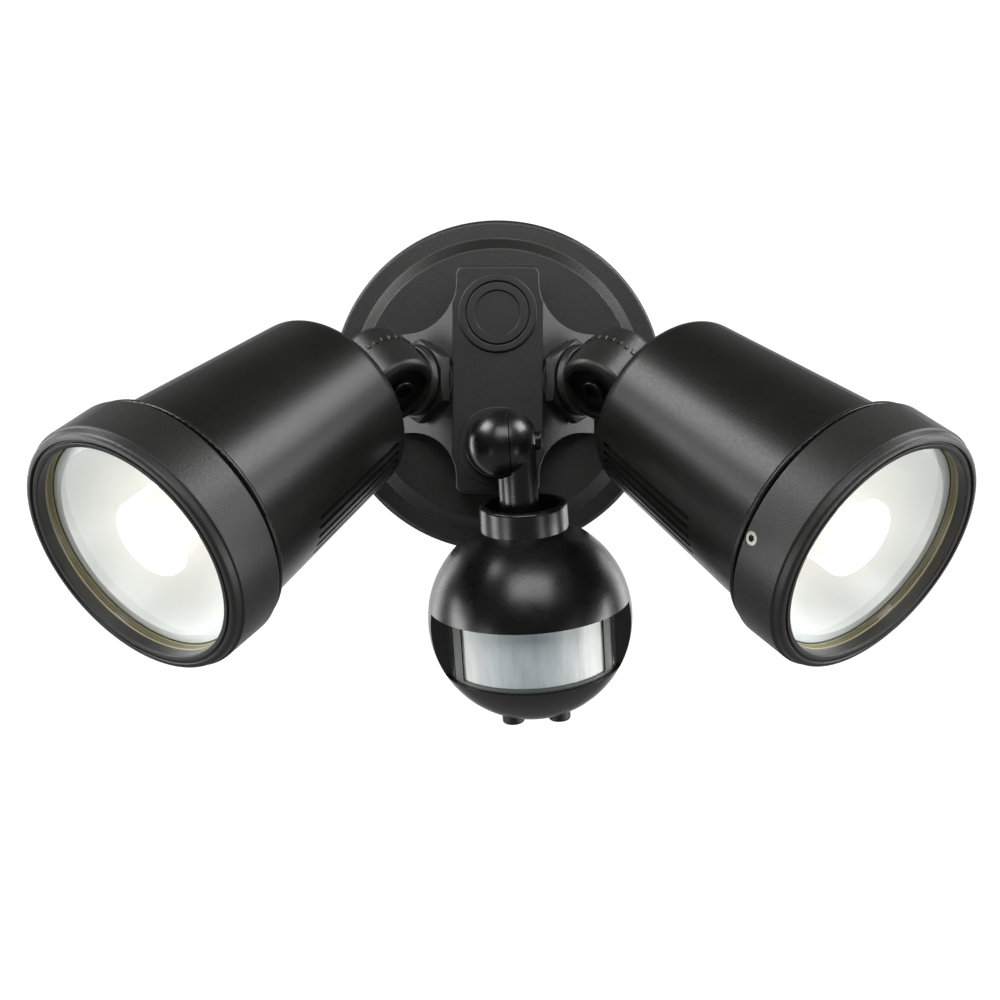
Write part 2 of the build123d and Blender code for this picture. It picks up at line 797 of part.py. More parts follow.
    sink_top = board_top - led_board_thickness - pin_fit
    sink_low = sink_top - sink_height
    sink_top_r = body_rear_r - head_wall + slope * (sink_top - rear_rim) - sink_clear
    sink_low_r = body_rear_r - head_wall + slope * (sink_low - rear_rim) - sink_clear
    with BuildPart() as heat_sink:
        turn(head, [
            (0, sink_low),
            (sink_low_r, sink_low),
            (sink_top_r, sink_top),
            (0, sink_top),
        ])
        with BuildSketch(head.offset(sink_low)) as channels:
            with GridLocations(2 * sink_top_r / fin_count, 0, fin_count, 1):
                Rectangle(2 * sink_top_r / fin_count - fin_width, 2 * sink_top_r)
        extrude(channels.sketch, amount=sink_height - sink_base, mode=Mode.SUBTRACT)
    write(heat_sink, f"{name}_heat_sink")

    driver_mid = sink_low - seat_gap - driver_length / 2
    driver_plane = Plane(origin=head.origin + head.z_dir * driver_mid, x_dir=head.x_dir, z_dir=head.y_dir)
    on_board = (Align.CENTER, Align.CENTER, Align.MIN)
    with BuildPart(driver_plane) as driver:
        Box(driver_width, driver_length, driver_sheet)
        with Locations((driver_width * choke_share, 0, driver_sheet / 2)):
            Box(choke_size, choke_size, choke_height, align=on_board)
        with Locations((driver_width * capacitor_share, 0, driver_sheet / 2)):
            Cylinder(capacitor_r, capacitor_height, align=on_board)
        with Locations((driver_width * chip_share, 0, driver_sheet / 2)):
            Box(chip_width, chip_length, chip_height, align=on_board)
    write(driver, f"{name}_driver")


lamp(-1, "left", left_yaw, left_drop, lock_screw_turn)
lamp(1, "right", right_yaw, right_drop, lock_screw_turn)

# ---- sensor stem: foot, shank and the left part of the knuckle's ball ----
split_low = knuckle_split - face_gap / 2
split_high = knuckle_split + face_gap / 2
foot_low = ring_height + face_gap
with BuildPart() as sensor_stem:
    with Locations(knuckle_axis):
        Sphere(knuckle_r)
    turn(sensor_entry, ring(0, shank_r, foot_low, sensor_reach))
    split(bisect_by=knuckle_axis.offset(split_low), keep=Keep.BOTTOM)
    turn(sensor_entry, ring(0, shank_r, foot_low, sensor_reach - knuckle_r - run_gap))
    turn(sensor_entry, [
        (0, foot_low),
        (foot_r, foot_low, foot_height / 4),
        (foot_r, foot_low + foot_height, foot_height / 3),
        (0, foot_low + foot_height),
    ])
    turn(sensor_entry, ring(0, entry_r - thread_fit, boss_low, foot_low + foot_height / 2))
    turn(knuckle_axis, ring(0, clamp_screw_r + pin_fit, clamp_end - seat_gap, split_low), Mode.SUBTRACT)
    turn(sensor_entry, ring(0, stem_bore_r, boss_low, foot_low + foot_height), Mode.SUBTRACT)
write(sensor_stem, "sensor_stem")

# ---- sensor arm: the right part of the knuckle's ball and the neck that holds the head ----
flange_r = arm_r + arm_flange_width
flange_low = web_top - web_height - seat_gap - arm_flange_height
with BuildPart() as sensor_arm:
    turn(ball_frame, ring(0, arm_r, flange_low, arm_length))
    with Locations(knuckle_axis):
        Sphere(knuckle_r)
    split(bisect_by=knuckle_axis.offset(clamp_seat), keep=Keep.BOTTOM)
    turn(knuckle_axis, ring(0, knuckle_r + run_gap, -2 * knuckle_r, split_high), Mode.SUBTRACT)
    turn(ball_frame, ring(0, flange_r, flange_low, flange_low + arm_flange_height))
    turn(ball_frame, ring(0, arm_bore_r, flange_low, web_top), Mode.SUBTRACT)
    turn(knuckle_axis, ring(0, clamp_screw_r + pin_fit, split_high, clamp_seat), Mode.SUBTRACT)
write(sensor_arm, "sensor_arm")

with BuildPart() as clamp_screw:
    turn(knuckle_axis, [
        (0, clamp_end),
        (clamp_screw_r, clamp_end),
        (clamp_screw_r, clamp_seat + pin_fit),
        (clamp_head_r, clamp_seat + pin_fit),
        (clamp_head_r, clamp_seat + clamp_head_height, clamp_head_height / 3),
        (0, clamp_seat + clamp_head_height),
    ])
write(clamp_screw, "sensor_clamp_screw")

# ---- sensor head: a ball of two shells that close round the arm's flange ----
shell_inner_r = ball_r - shell_wall
hood_low = hood_edge
hood_high = hood_edge + shell_wall
lip_high = lip_edge
lip_low = lip_edge - shell_wall
window_height = hood_low - lip_high
window_centre = (hood_low + lip_high) / 2
front_split = look.offset(shell_split + split_gap / 2)
rear_split = look.offset(shell_split - split_gap / 2)
screw_low = window_back - shell_wall

knob_plane = Plane(origin=ball_centre, x_dir=look.x_dir, z_dir=ball_frame.z_dir)
knob_places = [(side * knob_spread, -knob_forward) for side in (-1, 1)]

# Pillars for the shell screws, cut to the ball's form.
screw_places = [(side * x, z) for x, z in (upper_screw, lower_screw) for side in (-1, 1)]
with BuildPart() as pillars:
    with BuildSketch(look.offset(screw_low)):
        with Locations(*screw_places):
            Circle(pillar_r)
    extrude(amount=-2 * ball_r)
    with Locations(ball_frame):
        Sphere(ball_r - shell_wall / 2, mode=Mode.INTERSECT)

# The window's surround: a round wall behind it, a ledge above and below, and a wall at each end.
with BuildPart() as surround:
    with BuildSketch(look.offset(window_back)):
        with Locations((0, window_centre)):
            Rectangle(2 * ball_r, window_height + shell_wall)
    extrude(amount=-shell_wall)
    turn(ball_frame, ring(0, band_inner_r, 2 * lip_low, 2 * hood_high), Mode.SUBTRACT)
    turn(ball_frame, ring(band_inner_r, band_outer_r, lip_low, hood_high))
    turn(ball_frame, ring(band_inner_r, ball_r, hood_low, hood_high))
    turn(ball_frame, ring(band_inner_r, ball_r, lip_low, lip_high))
    with Locations(ball_frame):
        Sphere(ball_r - shell_wall / 2, mode=Mode.INTERSECT)
    split(bisect_by=front_split, keep=Keep.TOP)

with BuildPart() as window:
    turn(ball_frame, ring(band_outer_r, 2 * ball_r, lip_high, hood_low))
    split(bisect_by=look.offset(window_back), keep=Keep.TOP)

with BuildPart() as ball:
    with BuildSketch(section(ball_frame)) as profile:
        Circle(ball_r)
        with Locations((0, collar_top / 2)):
            Rectangle(2 * collar_outer_r, collar_top)
        fillet(profile.vertices().sort_by_distance((collar_outer_r, collar_top))[0], collar_round)
        Circle(shell_inner_r, mode=Mode.SUBTRACT)
        with Locations((0, collar_top)):
            Rectangle(2 * collar_inner_r, 2 * (collar_top - web_top), mode=Mode.SUBTRACT)
        with Locations((0, web_top - web_height / 2)):
            Rectangle(2 * collar_inner_r, web_height)
            Rectangle(2 * (arm_r + thread_fit), 2 * web_height, mode=Mode.SUBTRACT)
        with Locations((-ball_r, 0)):
            Rectangle(2 * ball_r, 4 * ball_r, mode=Mode.SUBTRACT)
    revolve(axis=Axis(ball_frame.origin, ball_frame.z_dir))

screw_end_depth = screw_low - shell_wall
with BuildPart() as rear_shell:
    add(ball.part)
    add(pillars.part)
    split(bisect_by=rear_split, keep=Keep.BOTTOM)
    with BuildSketch(look):
        with Locations(*screw_places):
            Circle(shell_screw_r + pin_fit)
    extrude(amount=2 * screw_seat, both=True, mode=Mode.SUBTRACT)
    with BuildSketch(look.offset(screw_seat)):
        with Locations(*screw_places):
            Circle(shell_head_r + pin_fit)
    extrude(amount=-ball_r, mode=Mode.SUBTRACT)
write(rear_shell, "sensor_rear_shell")

with BuildPart() as front_shell:
    add(ball.part)
    add(pillars.part)
    split(bisect_by=front_split, keep=Keep.TOP)
    add(window.part, mode=Mode.SUBTRACT)
    add(surround.part)
    with BuildSketch(front_split):
        with Locations((0, window_centre)):
            Rectangle(2 * lens_half_width, window_height)
    extrude(amount=ball_r, mode=Mode.SUBTRACT)
    with BuildSketch(look):
        with Locations(*screw_places):
            Circle(shell_screw_r + pin_fit)
    extrude(amount=screw_end_depth, mode=Mode.SUBTRACT)
    with BuildSketch(knob_plane.offset(-ball_r)):
        with Locations(*knob_places):
            Circle(knob_r + run_gap)
    extrude(amount=ball_r + knob_top + run_gap, mode=Mode.SUBTRACT)
write(front_shell, "sensor_front_shell")

with BuildPart() as shell_screws:
    with BuildSketch(look.offset(screw_seat - pin_fit)):
        with Locations(*screw_places):
            Circle(shell_head_r)
    extrude(amount=-shell_head_height)
    with BuildSketch(look.offset(screw_seat - pin_fit)):
        with Locations(*screw_places):
            Circle(shell_screw_r)
    extrude(amount=screw_end_depth - seat_gap - screw_seat)
write(shell_screws, "sensor_shell_screws")

# The lens is a curved sheet in a frame that fills the opening in the window's wall.
frame_half_width = lens_half_width - pin_fit
with BuildPart() as lens_frame:
    turn(ball_frame, ring(band_inner_r, band_outer_r - seat_gap, lip_high + pin_fit, hood_low - pin_fit))
    with BuildSketch(front_split):
        with Locations((0, window_centre)):
            Rectangle(2 * frame_half_width, window_height)
    extrude(amount=ball_r, mode=Mode.INTERSECT)
    with BuildSketch(front_split):
        with Locations((0, window_centre)):
            Rectangle(2 * (frame_half_width - frame_side), window_height - 2 * frame_bar)
    extrude(amount=ball_r, mode=Mode.SUBTRACT)
write(lens_frame, "sensor_lens_frame")

lens_outer_r = band_outer_r - seat_gap - lens_inset
with BuildPart() as lens:
    turn(ball_frame, ring(lens_outer_r - lens_thickness, lens_outer_r, lip_high, hood_low))
    with BuildSketch(front_split):
        with Locations((0, window_centre)):
            Rectangle(
                2 * (frame_half_width - frame_side - pin_fit),
                window_height - 2 * frame_bar - 2 * pin_fit,
            )
    extrude(amount=ball_r, mode=Mode.INTERSECT)
write(lens, "sensor_lens")

# Inside the ball: the main board between the pillars, its detector can and relay, and the knobs' board.
board_face = look.offset(board_forward)
with BuildPart() as sensor_board:
    with BuildSketch(board_face):
        Rectangle(2 * (upper_screw[0] - pillar_r - seat_gap), 2 * board_half_height)
    extrude(amount=-board_thickness)
write(sensor_board, "sensor_board")

with BuildPart() as detector:
    with BuildSketch(board_face.offset(pin_fit)):
        with Locations((0, window_centre)):
            Circle(can_r)
    extrude(amount=can_height)
    fillet(detector.faces().filter_by(GeomType.PLANE).sort_by(SortBy.AREA)[-1].edges(), can_round)
write(detector, "sensor_detector")

with BuildPart() as relay:
    with BuildSketch(board_face.offset(-board_thickness - pin_fit)):
        Rectangle(relay_width, relay_height)
    extrude(amount=-relay_depth)
write(relay, "sensor_relay")

pot_low = knob_top + run_gap + seat_gap
with BuildPart() as control_board:
    with BuildSketch(knob_plane.offset(pot_low + pot_height)):
        with Locations((0, -knob_forward)):
            Rectangle(2 * (knob_spread + pot_width / 2 + seat_gap), pot_width + 2 * seat_gap)
    extrude(amount=board_thickness)
    with BuildSketch(knob_plane.offset(pot_low)):
        with Locations(*knob_places):
            Rectangle(pot_width, pot_width)
            Circle(knob_shaft_r + pin_fit, mode=Mode.SUBTRACT)
    extrude(amount=pot_height)
write(control_board, "sensor_control_board")

for (knob_x, knob_y), name in zip(knob_places, ("time_knob", "lux_knob")):
    knob_way = Plane(
        origin=ball_centre + knob_plane.x_dir * knob_x + knob_plane.y_dir * knob_y,
        x_dir=knob_plane.x_dir,
        z_dir=knob_plane.z_dir,
    )
    with BuildPart() as knob:
        turn(knob_way, [
            (0, knob_low),
            (knob_r, knob_low, knob_round),
            (knob_r, knob_top),
            (knob_shaft_r, knob_top),
            (knob_shaft_r, pot_low + pot_height - seat_gap),
            (0, pot_low + pot_height - seat_gap),
        ])
        with BuildSketch(knob_way.offset(knob_low)):
            Rectangle(knob_slot_width, 2 * knob_r * knob_slot_share)
        extrude(amount=knob_slot_depth, mode=Mode.SUBTRACT)
    write(knob, name)
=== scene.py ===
"""Looks of a wall-mounted security light with two lamps and a ball-shaped motion sensor.

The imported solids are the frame. Powder-coated castings, moulded plastics, rubber, glass and bright metal get
materials made of nodes, and the pieces that need finer relief than the solids have are worked out here."""

import bpy
import numpy as np
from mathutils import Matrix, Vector


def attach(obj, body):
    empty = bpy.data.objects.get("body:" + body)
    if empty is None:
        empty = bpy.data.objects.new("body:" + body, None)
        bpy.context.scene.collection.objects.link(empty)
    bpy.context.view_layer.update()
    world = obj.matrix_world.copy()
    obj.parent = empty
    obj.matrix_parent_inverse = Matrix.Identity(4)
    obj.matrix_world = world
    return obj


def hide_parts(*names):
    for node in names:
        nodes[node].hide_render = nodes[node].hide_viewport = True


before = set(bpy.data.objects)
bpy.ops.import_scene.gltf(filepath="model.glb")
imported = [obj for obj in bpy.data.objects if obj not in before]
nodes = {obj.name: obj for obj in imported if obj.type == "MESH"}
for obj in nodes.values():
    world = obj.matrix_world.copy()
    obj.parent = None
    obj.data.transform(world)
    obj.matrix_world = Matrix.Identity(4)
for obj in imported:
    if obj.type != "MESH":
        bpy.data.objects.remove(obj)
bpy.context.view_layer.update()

MM = 0.001


# ---- shared helpers ----
def linear(code):
    """The linear colour, with alpha, of an sRGB hex value."""
    shares = [int(code[place:place + 2], 16) / 255 for place in (1, 3, 5)]
    return tuple(s / 12.92 if s <= 0.04045 else ((s + 0.055) / 1.055) ** 2.4 for s in shares) + (1.0,)


def set_inputs(tree, node, inputs):
    """Gives a node's sockets, by name or number, their values or links."""
    for name, value in inputs.items():
        if isinstance(value, bpy.types.NodeSocket):
            tree.links.new(value, node.inputs[name])
        else:
            node.inputs[name].default_value = value


def add_node(tree, kind, inputs=None, **settings):
    """Adds a node: settings are its own properties, inputs its sockets as set_inputs takes them."""
    made = tree.nodes.new(kind)
    for name, value in settings.items():
        setattr(made, name, value)
    set_inputs(tree, made, inputs or {})
    return made


def shader(name, **values):
    """A new material with a Principled shader, whose sockets are named with underscores for spaces."""
    material = bpy.data.materials.new(name)
    material.use_nodes = True
    surface_node = material.node_tree.nodes["Principled BSDF"]
    for socket, value in values.items():
        surface_node.inputs[socket.replace("_", " ")].default_value = value
    return material, material.node_tree, surface_node


def noise_scale(lump_mm):
    """The Scale of a noise on Object coordinates whose lumps are about lump_mm across: one over the size of a
    cell in metres, which holds a lump and a hollow."""
    return 1 / (2 * lump_mm * MM)


# The size of the slow patches in mm, how far the roughness wanders either way, and the values of each noise
# between which its whole effect lies.
PATCH_MM, GLOSS_SWING = 9.0, 0.04
PATCH_LOW, PATCH_HIGH, GRAIN_LOW, GRAIN_HIGH = 0.3, 0.7, 0.25, 0.75


def coated(name, first, second, rough, grain_mm, depth_mm, **values):
    """A skin with raised fine grain, slow patches of two close tones, and gloss that wanders a little with
    the grain."""
    material, tree, surface_node = shader(name, **values)
    place = add_node(tree, "ShaderNodeTexCoord").outputs["Object"]
    inputs = {"Vector": place, "Scale": noise_scale(grain_mm)}
    grain = add_node(tree, "ShaderNodeTexNoise", inputs).outputs["Fac"]
    inputs = {"Vector": place, "Scale": noise_scale(PATCH_MM), "Detail": 3.0, "Roughness": 0.6}
    patches = add_node(tree, "ShaderNodeTexNoise", inputs).outputs["Fac"]
    inputs = {"Value": patches, "From Min": PATCH_LOW, "From Max": PATCH_HIGH}
    share = add_node(tree, "ShaderNodeMapRange", inputs)
    inputs = {"Factor": share.outputs["Result"], "A": linear(first), "B": linear(second)}
    tone = add_node(tree, "ShaderNodeMix", inputs, data_type="RGBA")
    inputs = {"Value": grain, "From Min": GRAIN_LOW, "From Max": GRAIN_HIGH,
              "To Min": rough - GLOSS_SWING, "To Max": rough + GLOSS_SWING}
    gloss = add_node(tree, "ShaderNodeMapRange", inputs)
    bump = add_node(tree, "ShaderNodeBump", {"Height": grain, "Distance": depth_mm * MM})
    set_inputs(tree, surface_node, {
        "Base Color": tone.outputs["Result"], "Roughness": gloss.outputs["Result"],
        "Normal": bump.outputs["Normal"]})
    return material


def glowing(name, first, second, glow, grain_mm, depth_mm, **values):
    """A pale skin that glows by itself, with faint grain between two close tones."""
    material, tree, surface_node = shader(name, Emission_Color=linear(glow), **values)
    place = add_node(tree, "ShaderNodeTexCoord").outputs["Object"]
    inputs = {"Vector": place, "Scale": noise_scale(grain_mm)}
    grain = add_node(tree, "ShaderNodeTexNoise", inputs).outputs["Fac"]
    inputs = {"Factor": grain, "A": linear(first), "B": linear(second)}
    tone = add_node(tree, "ShaderNodeMix", inputs, data_type="RGBA")
    bump = add_node(tree, "ShaderNodeBump", {"Height": grain, "Distance": depth_mm * MM})
    set_inputs(tree, surface_node, {"Base Color": tone.outputs["Result"], "Normal": bump.outputs["Normal"]})
    return material


# ---- materials ----
# After the two tones of a coated skin come its roughness and, in mm, the size and the depth of its grain.

# Powder coat on die-cast aluminium: a dark, slightly warm grey with a fine pimpled grain. The real grain, of
# about 0.1 mm, is drawn at 0.35 mm so that it shows.
powder_coat = coated("powder_coat_on_casting", "#181817", "#20201f", 0.43, 0.35, 0.045)
# The lamp bodies have a smoother sprayed satin coat over turned metal, with a broad soft gloss.
satin_coat = coated("satin_coat_on_lamp_body", "#131312", "#181817", 0.34, 0.45, 0.012, IOR=1.4)
# Gloss ABS, moulded in a polished tool: near black with a faint ripple from cooling.
gloss_abs = coated("moulded_gloss_abs", "#0c0c0c", "#101010", 0.29, 2.5, 0.006, IOR=1.57)
# Black nylon of the locknuts, knobs and blanking plug: moulded, dull satin.
black_nylon = coated("moulded_black_nylon", "#121212", "#181817", 0.42, 0.3, 0.015, IOR=1.53)
# EPDM rubber of the wall gasket and stem seals: matt black with a dusty bloom.
black_rubber = coated("epdm_rubber", "#171717", "#242423", 0.8, 0.4, 0.03)
# Silicone rubber of the glass seals: light grey, painted olive and warm to stand in for the amber glow of the
# lamp's light on it.
grey_silicone = coated("silicone_seal", "#98906f", "#a59d7d", 0.45, 0.5, 0.01)
# Zinc-plated steel of the bracket and most screws: pale and faintly bluish, with a soft sheen.
zinc_steel = coated("zinc_plated_steel", "#93979a", "#a9abaa", 0.38, 0.8, 0.004, Metallic=1.0)
# Stainless steel of the bezels' lock screws: bright, with a fine grain from turning.
stainless = coated("turned_stainless_steel", "#8f8d89", "#a5a29d", 0.3, 0.25, 0.004, Metallic=1.0)
# Blackened steel of the pivot and clamp screws: dark, with a low metallic sheen.
black_steel = coated("blackened_steel_screw", "#1b1b1b", "#262625", 0.3, 0.3, 0.006, Metallic=0.6)
# Brass of the earth screw: yellow and bright.
brass = coated("turned_brass", "#b48a3c", "#c79d4e", 0.28, 0.3, 0.005, Metallic=1.0)
# White polyamide of the terminal block: moulded, a little creamy and dull.
white_nylon = coated("moulded_white_nylon", "#d9d8d2", "#e4e3de", 0.5, 0.5, 0.01)
# Bare die-cast aluminium of the heat sinks: grey with a fine sandy skin.
bare_casting = coated("bare_cast_aluminium", "#9b9c9d", "#aeafb0", 0.48, 0.5, 0.02, Metallic=1.0)
# Anodised sheet of the reflectors: bright, softly peened so that it spreads the light.
reflector_sheet = coated("peened_anodised_reflector", "#dfe1e3", "#e6e8ea", 0.42, 1.2, 0.02, Metallic=0.45)
# Mid-grey ABS of the lens frame: moulded, with a light satin skin.
frame_grey = coated("moulded_grey_abs", "#5d605c", "#6a6d68", 0.35, 0.6, 0.006)
# Nickel-plated can of the detector: bright, smooth and faintly warm.
can_nickel = coated("nickel_plated_can", "#b8b6b0", "#c6c4be", 0.2, 0.4, 0.003, Metallic=1.0)
# Blue polyester of the relay's case: moulded, plain satin.
relay_blue = coated("moulded_blue_polyester", "#1e3f7a", "#254a8a", 0.4, 0.6, 0.006)

# The pitch of a board's copper tracks and how far they stand out, in mm, and the height of one row and the
# width of a track in units of the brick texture.
TRACK_MM, TRACK_DEPTH, BRICK_ROW, TRACK_SHARE = 1.6, 0.03, 0.25, 0.03


def circuit_board():
    """Glass epoxy under green solder mask: copper tracks show through as paler lines."""
    material, tree, surface_node = shader("green_circuit_board", Roughness=0.32)
    place = add_node(tree, "ShaderNodeTexCoord").outputs["Object"]
    bricks = {"Vector": place, "Scale": BRICK_ROW / (TRACK_MM * MM), "Mortar Size": TRACK_SHARE,
              "Color1": linear("#0f4a24"), "Color2": linear("#135a2b"), "Mortar": linear("#2c8a4a")}
    tracks = add_node(tree, "ShaderNodeTexBrick", bricks).outputs
    bump = add_node(tree, "ShaderNodeBump", {"Height": tracks["Fac"], "Distance": TRACK_DEPTH * MM})
    set_inputs(tree, surface_node, {"Base Color": tracks["Color"], "Normal": bump.outputs["Normal"]})
    return material


# The lens film: the middle of its bluish part as a share across, and how far from there it begins and ends to
# turn white. The whiter ends are painted light on the band's ends, which turn sideways.
BLUE_MIDDLE, WHITE_FROM, WHITE_AT = 0.45, 0.1, 0.5
# The streaks: 15 noise cells of 3.6 mm across the lens and little more than one in its height, the values of
# the noise between which they change, the darkest and the lightest as shares of the colour, and their depth
# in mm.
# The streaks' darker and lighter tones are painted shade and light from the facets.
STREAK_CELLS, STREAK_LOW, STREAK_HIGH, STREAK_DARK, STREAK_LIGHT = (15.0, 1.2, 1.0), 0.35, 0.65, 0.9, 1.07
STREAK_DEPTH = 0.03


def fresnel_film():
    """Milky polyethylene: bluish near the middle, with painted light that makes it whiter towards its ends,
    and faint upright streaks of painted light and shade from the facets behind. The UV map gives the share
    across and the share up."""
    material, tree, surface_node = shader("milky_polyethylene", Roughness=0.3, IOR=1.51)
    spot = add_node(tree, "ShaderNodeUVMap", uv_map="share").outputs["UV"]
    across = add_node(tree, "ShaderNodeSeparateXYZ", {"Vector": spot}).outputs["X"]
    # Painted light: the film turns whiter towards the band's ends, which turn sideways.
    off = add_node(tree, "ShaderNodeMath", {0: across, 1: BLUE_MIDDLE}, operation="SUBTRACT").outputs[0]
    off = add_node(tree, "ShaderNodeMath", {0: off}, operation="ABSOLUTE").outputs[0]
    inputs = {"Value": off, "From Min": WHITE_FROM, "From Max": WHITE_AT}
    whiter = add_node(tree, "ShaderNodeMapRange", inputs)
    inputs = {"Factor": whiter.outputs["Result"], "A": linear("#bec9cd"), "B": linear("#f0f3ee")}
    base = add_node(tree, "ShaderNodeMix", inputs, data_type="RGBA").outputs["Result"]
    cells = add_node(tree, "ShaderNodeMapping", {"Vector": spot, "Scale": STREAK_CELLS}).outputs["Vector"]
    inputs = {"Vector": cells, "Scale": 1.0, "Detail": 3.0}
    streaks = add_node(tree, "ShaderNodeTexNoise", inputs).outputs["Fac"]
    inputs = {"Value": streaks, "From Min": STREAK_LOW, "From Max": STREAK_HIGH,
              "To Min": STREAK_DARK, "To Max": STREAK_LIGHT}
    light = add_node(tree, "ShaderNodeMapRange", inputs).outputs["Result"]
    # Painted light and shade of the facets: the streaks darken and lighten the colour.
    colour = add_node(tree, "ShaderNodeVectorMath", {0: base, "Scale": light}, operation="SCALE")
    bump = add_node(tree, "ShaderNodeBump", {"Height": streaks, "Distance": STREAK_DEPTH * MM})
    set_inputs(tree, surface_node, {"Base Color": colour.outputs["Vector"], "Normal": bump.outputs["Normal"]})
    return material


def clear_glass():
    """Toughened soda-lime glass, faintly green. Shadow rays pass straight through, so that the lamp's inside
    is lit."""
    material, tree, surface_node = shader("toughened_glass", Base_Color=linear("#fafbfa"), Roughness=0.0,
                                          IOR=1.52, Transmission_Weight=1.0)
    ray = add_node(tree, "ShaderNodeLightPath")
    through = add_node(tree, "ShaderNodeBsdfTransparent", {"Color": linear("#f6f9f7")})
    inputs = {0: ray.outputs["Is Shadow Ray"], 1: surface_node.outputs["BSDF"], 2: through.outputs["BSDF"]}
    mixed = add_node(tree, "ShaderNodeMixShader", inputs)
    set_inputs(tree, tree.nodes["Material Output"], {"Surface": mixed.outputs["Shader"]})
    return material


board_green = circuit_board()
film = fresnel_film()
glass = clear_glass()
# White solder mask of the light source's board under its lit phosphor: the whole board glows, a little warm.
lit_board = glowing("white_solder_mask", "#f1f0ea", "#f7f6f2", "#fff1d8", 0.8, 0.01, Roughness=0.4,
                    Emission_Strength=3.0)
# Opal acrylic over the light source: it glows evenly, a little warm.
lit_cap = glowing("lit_opal_acrylic", "#fbfaf4", "#f4f3ec", "#fffaf0", 1.5, 0.005, Roughness=0.35, IOR=1.49,
                  Emission_Strength=0.8)

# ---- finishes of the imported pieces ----
lamp_finishes = {
    "stem_seal": black_rubber, "locknut": black_nylon, "stem": powder_coat, "pivot_screw": black_steel,
    "knuckle": powder_coat, "housing": satin_coat, "bezel": powder_coat, "bezel_screw": stainless,
    "glass_gasket": grey_silicone, "glass": glass, "reflector": reflector_sheet, "led_board": lit_board,
    "glare_cap": lit_cap, "heat_sink": bare_casting, "driver": board_green,
}
finishes = {
    "back_plate": powder_coat, "wall_gasket": black_rubber, "wall_bracket": zinc_steel,
    "side_screws": zinc_steel, "entry_plug": black_nylon, "terminal_block": white_nylon,
    "terminal_screws": zinc_steel, "earth_screw": brass,
    "sensor_stem": gloss_abs, "sensor_arm": gloss_abs, "sensor_clamp_screw": black_steel,
    "sensor_rear_shell": gloss_abs, "sensor_front_shell": gloss_abs, "sensor_lens_frame": frame_grey,
    "sensor_lens": film, "sensor_shell_screws": zinc_steel, "sensor_board": board_green,
    "sensor_detector": can_nickel, "sensor_relay": relay_blue, "sensor_control_board": board_green,
    "time_knob": black_nylon, "lux_knob": black_nylon,
}
for side in ("left", "right"):
    finishes.update({f"{side}_{part}": finish for part, finish in lamp_finishes.items()})
for name, finish in finishes.items():
    for material_slot in nodes[name].material_slots:
        material_slot.material = finish


# ---- new pieces ----
def mesh_object(name, points, faces, finish):
    """A new object at the origin from arrays of points and faces, in one material."""
    mesh = bpy.data.meshes.new(name)
    mesh.from_pydata(points.reshape(-1, 3).tolist(), [], faces.tolist())
    mesh.materials.append(finish)
    made = bpy.data.objects.new(name, mesh)
    bpy.context.scene.collection.objects.link(made)
    return made


def grid_indices(rows, columns):
    """The row and the column of every place in a grid, as two flat arrays."""
    return (part.ravel() for part in np.meshgrid(np.arange(rows), np.arange(columns), indexing="ij"))


# ---- the sensor's lens ----
# The ball's centre and its axes: sideways, forwards through the lens and up along the neck, in metres.
BALL = np.array([10.9615, -40.3414, -80.7654]) * MM
SIDE = np.array([0.9978, 0.0, 0.0663])
AHEAD = np.array([0.01715, -0.96593, -0.25825])
UP = np.array([-0.0640, -0.2588, 0.9638])
# The lens band in mm and degrees: its face and the bottom of its teeth, its lower edge and height, and half
# the angle that it spans.
FACE_R, BACK_R, LENS_LOW, LENS_HEIGHT, HALF_SPAN = 28.15, 27.45, -14.7, 19.8, 55.4
# Its facets stand side by side, each with a field in each third of its height. A crease begins at that share
# of a facet from its middle.
FACETS, FIELDS, FACET_WIDTH, FIELD_HEIGHT, CREASE_DEPTH, CREASE_START = 13, 3, 4.2, 6.6, 0.05, 0.42
# The pitch and depth of the rings' teeth in mm, and the points of the grid across and up.
RING_PITCH, RING_DEPTH = 0.9, 0.3
GRID_ACROSS, GRID_UP = 209, 61


def closed_shell(name, front, back, shares, finish):
    """A closed skin from two grids of points, front and back, joined round their four edges."""
    rows, columns = front.shape[:2]
    count = rows * columns
    row, column = grid_indices(rows - 1, columns - 1)
    low = row * columns + column
    quads = np.stack([low, low + 1, low + columns + 1, low + columns], 1)
    # Once round the grid's border: along the first row, up the last column, back along the last row and down.
    edge = np.concatenate([
        np.arange(columns), np.arange(2, rows + 1) * columns - 1,
        np.arange(count - 2, count - columns - 1, -1), np.arange(rows - 2, -1, -1) * columns])
    rim = np.stack([edge[1:], edge[:-1], edge[:-1] + count, edge[1:] + count], 1)
    faces = np.concatenate([quads, quads[:, ::-1] + count, rim])
    shell = mesh_object(name, np.stack([front, back]), faces, finish)
    both = np.concatenate([shares.reshape(-1, 2)] * 2)
    corners = np.empty(len(shell.data.loops), dtype=np.int32)
    shell.data.loops.foreach_get("vertex_index", corners)
    shell.data.uv_layers.new(name="share").data.foreach_set("uv", both[corners].ravel())
    shell.data.shade_smooth()
    return shell


